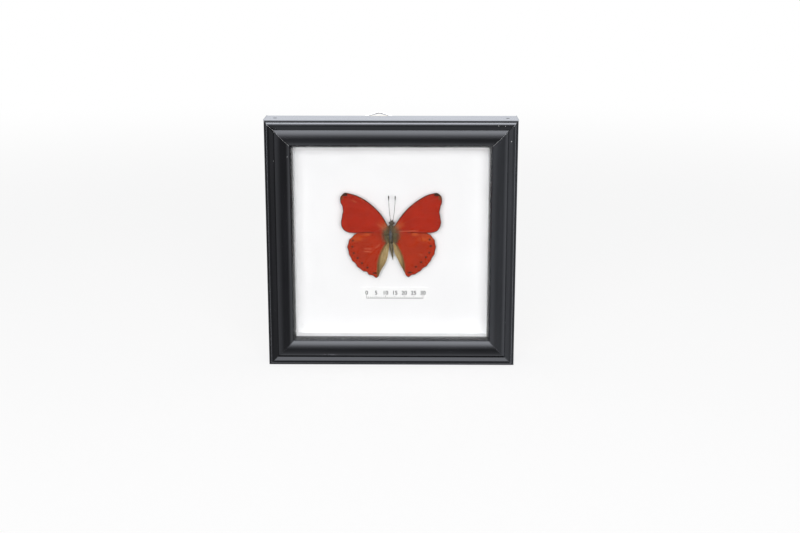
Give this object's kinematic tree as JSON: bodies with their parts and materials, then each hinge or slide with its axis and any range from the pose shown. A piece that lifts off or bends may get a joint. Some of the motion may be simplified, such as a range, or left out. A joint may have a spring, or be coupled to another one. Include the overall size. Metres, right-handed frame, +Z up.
{
  "type": "insect display case",
  "caption": "Square glazed box frame with black mitred moulding, holding a spread red butterfly over white card, with a back panel on turn buttons and a wire hanging ring.",
  "frame": {"origin": "middle of the flat bottom edge that the case stands on", "axes": "+Z up, -Y out of the glass, +X to the right seen from the front"},
  "size_m": [0.13, 0.0311, 0.1314],
  "materials": {
    "moulding": "black foil over wood, semi-gloss",
    "glass": "clear float glass",
    "foam": "white foam strip",
    "card": "smooth white card",
    "foam_core": "paper-faced foam board",
    "label": "printed white card",
    "hardboard": "brown hardboard",
    "steel": "zinc plated",
    "plated_steel": "yellow zinc plated",
    "wire": "bright drawn wire, tarnished",
    "wing": "scaled wing membrane",
    "body_fur": "short fur",
    "antenna": "thin dark chitin",
    "eye": "dull dark brown"
  },
  "bodies": {
    "case": {"top_rail": "moulding", "bottom_rail": "moulding", "left_rail": "moulding", "right_rail": "moulding", "front_glass": "glass", "top_spacer": "foam", "bottom_spacer": "foam", "left_spacer": "foam", "right_spacer": "foam", "specimen_pad": "foam", "mounting_card": "card", "foam_board": "foam_core", "label_strip": "label", "back_panel": "hardboard", "corner_brads": "steel", "turn_button_screws": "steel", "hanger_screw": "steel", "hanger_strap": "plated_steel", "left_forewing": "wing", "right_forewing": "wing", "left_hindwing": "wing", "right_hindwing": "wing", "head": "body_fur", "thorax": "body_fur", "abdomen": "body_fur", "left_antenna": "antenna", "right_antenna": "antenna", "palps": "antenna", "eyes": "eye"},
    "ring": {"hanger_ring": "wire"},
    "lower_left_button": {"lower_left_turn_button": "plated_steel"},
    "upper_left_button": {"upper_left_turn_button": "plated_steel"},
    "lower_right_button": {"lower_right_turn_button": "plated_steel"},
    "upper_right_button": {"upper_right_turn_button": "plated_steel"}
  },
  "joints": [
    {"name": "hanger_ring_swing", "type": "hinge", "parent": "case", "child": "ring", "pos_m": [-0.0068, 0.0105, 0.1292], "axis": [1, 0, 0], "range_deg": [-90, 78]},
    {"name": "lower_left_button_turn", "type": "hinge", "parent": "case", "child": "lower_left_button", "pos_m": [-0.06075, 0.00995, 0.035], "axis": [0, 1, 0], "continuous": true},
    {"name": "upper_left_button_turn", "type": "hinge", "parent": "case", "child": "upper_left_button", "pos_m": [-0.06075, 0.00995, 0.0955], "axis": [0, 1, 0], "continuous": true},
    {"name": "lower_right_button_turn", "type": "hinge", "parent": "case", "child": "lower_right_button", "pos_m": [0.06075, 0.00995, 0.035], "axis": [0, 1, 0], "continuous": true},
    {"name": "upper_right_button_turn", "type": "hinge", "parent": "case", "child": "upper_right_button", "pos_m": [0.06075, 0.00995, 0.0955], "axis": [0, 1, 0], "continuous": true}
  ]
}
